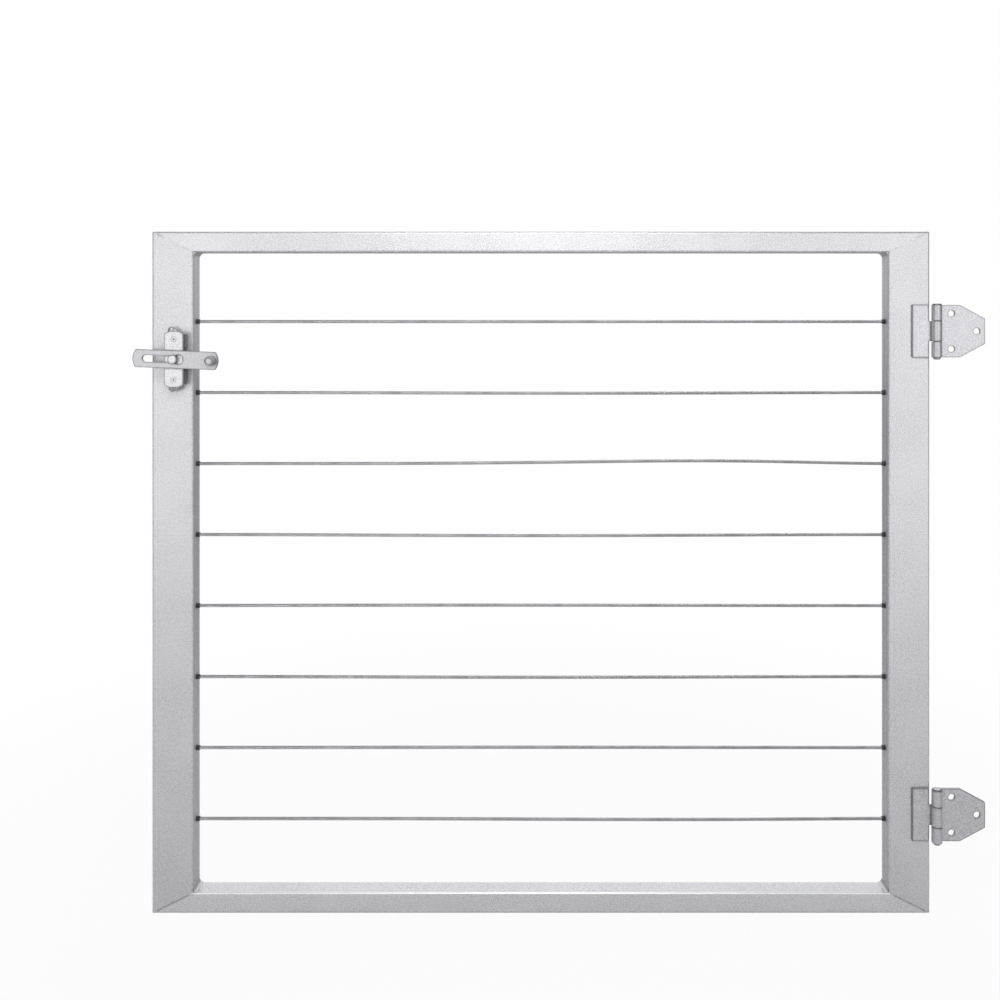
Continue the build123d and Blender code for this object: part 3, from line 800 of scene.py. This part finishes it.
FLOOR_RADIUS = 30.0
FLOOR_GAP = 0.5 * MM         # the floor lies this far below the gate
FLOOR_BOUNCE = 0.8           # the floor's brightness as the gate's metal meets it
FLOOR_NEAR, FLOOR_FAR = 0.5, 1.3         # the fade starts and ends this far from the gate, in metres
FLOOR_WHITENESS = 0.93       # how white the floor already is where the fade starts
WORLD_BASE = 0.05
WORLD_TINT = (0.97, 0.97, 1.0)
WORLD_GLOWS = [              # where each glow comes from, the cosine at its edge, and its strength
    ((0, -1, -0.04), 0.35, 0.66),
    ((0, 1, 0.75), 0.6, 1.28),
    ((0, 1, -0.1), 0.7, 0.6),
]


def plain_floor():
    """A pale floor that fades to white away from the gate; to other surfaces it is a dull grey."""
    deselect_all()
    bpy.ops.mesh.primitive_circle_add(
        vertices=128, radius=FLOOR_RADIUS, fill_type="NGON",
        location=(gate_middle.x, gate_front, gate_bottom - FLOOR_GAP),
    )
    floor = named("studio_floor")
    settle(floor)
    material, tree, shader = blank_material("floor_paint")
    shader.inputs["Base Color"].default_value = (0.80, 0.80, 0.80, 1.0)
    shader.inputs["Roughness"].default_value = 0.9
    place = tree.nodes.new("ShaderNodeTexCoord").outputs["Object"]
    centre = tree.nodes.new("ShaderNodeVectorMath")
    centre.operation = "DISTANCE"
    centre.inputs[1].default_value = (gate_middle.x, gate_front, gate_bottom)
    tree.links.new(place, centre.inputs[0])
    far = remap(tree, centre.outputs["Value"], FLOOR_NEAR, FLOOR_FAR, FLOOR_WHITENESS, 1.0)
    white = tree.nodes.new("ShaderNodeEmission")
    near_or_far = tree.nodes.new("ShaderNodeMixShader")
    tree.links.new(far.outputs[0], near_or_far.inputs[0])
    tree.links.new(shader.outputs[0], near_or_far.inputs[1])
    tree.links.new(white.outputs[0], near_or_far.inputs[2])
    dull = tree.nodes.new("ShaderNodeBsdfDiffuse")
    dull.inputs["Color"].default_value = (FLOOR_BOUNCE, FLOOR_BOUNCE, FLOOR_BOUNCE, 1.0)
    path = tree.nodes.new("ShaderNodeLightPath")
    seen = tree.nodes.new("ShaderNodeMixShader")
    tree.links.new(path.outputs["Is Camera Ray"], seen.inputs[0])
    tree.links.new(dull.outputs[0], seen.inputs[1])
    tree.links.new(near_or_far.outputs[0], seen.inputs[2])
    tree.links.new(seen.outputs[0], tree.nodes["Material Output"].inputs["Surface"])
    finish_node(floor, material)


def studio_world():
    """White to the eye; as a light, a dim surround with a glow from the front and two from behind."""
    world = bpy.data.worlds.new("studio")
    bpy.context.scene.world = world
    world.use_nodes = True
    tree = world.node_tree
    tree.nodes.clear()
    result = tree.nodes.new("ShaderNodeOutputWorld")
    direction = tree.nodes.new("ShaderNodeTexCoord").outputs["Generated"]

    level = None
    for aim, edge, strength in WORLD_GLOWS:
        facing = tree.nodes.new("ShaderNodeVectorMath")
        facing.operation = "DOT_PRODUCT"
        facing.inputs[1].default_value = Vector(aim).normalized()
        tree.links.new(direction, facing.inputs[0])
        glow = remap(tree, facing.outputs["Value"], edge, 1.0, 0.0, strength)
        glow.interpolation_type = "SMOOTHSTEP"
        level = glow.outputs[0] if level is None else math_node(tree, "ADD", level, glow.outputs[0])
    level = math_node(tree, "ADD", level, WORLD_BASE)
    light = tree.nodes.new("ShaderNodeBackground")
    light.inputs["Color"].default_value = (*WORLD_TINT, 1.0)
    tree.links.new(level, light.inputs["Strength"])
    seen = tree.nodes.new("ShaderNodeBackground")
    seen.inputs["Color"].default_value = (1.0, 1.0, 1.0, 1.0)
    path = tree.nodes.new("ShaderNodeLightPath")
    choose = tree.nodes.new("ShaderNodeMixShader")
    tree.links.new(path.outputs["Is Camera Ray"], choose.inputs[0])
    tree.links.new(light.outputs[0], choose.inputs[1])
    tree.links.new(seen.outputs[0], choose.inputs[2])
    tree.links.new(choose.outputs[0], result.inputs["Surface"])


def softbox(name, place, target, size, power):
    """A rectangular lamp turned to face the target."""
    data = bpy.data.lights.new(name, "AREA")
    data.shape = "RECTANGLE"
    data.size, data.size_y = size
    data.energy = power
    lamp = bpy.data.objects.new(name, data)
    lamp.location = place
    lamp.rotation_euler = (Vector(target) - Vector(place)).to_track_quat("-Z", "Y").to_euler()
    bpy.context.scene.collection.objects.link(lamp)


SOFTBOXES = {                # place from the gate's front middle, width and height in metres, watts
    "high": ((0.0, -1.3, 1.3), (1.0, 0.6), 16),
    "low": ((0.0, -1.9, -0.33), (2.6, 0.16), 0.6),
    "left": ((-1.2, -1.7, 0.2), (0.8, 1.2), 5.4),
    "right": ((1.2, -1.7, 0.2), (0.8, 1.2), 5.2),
}


def studio_lights():
    """Four softboxes round the front of the gate."""
    for name, (place, size, power) in SOFTBOXES.items():
        softbox(name + "_softbox", gate_middle + Vector(place), gate_middle, size, power)


plain_floor()
studio_world()
studio_lights()
bpy.context.scene.view_settings.view_transform = "Standard"
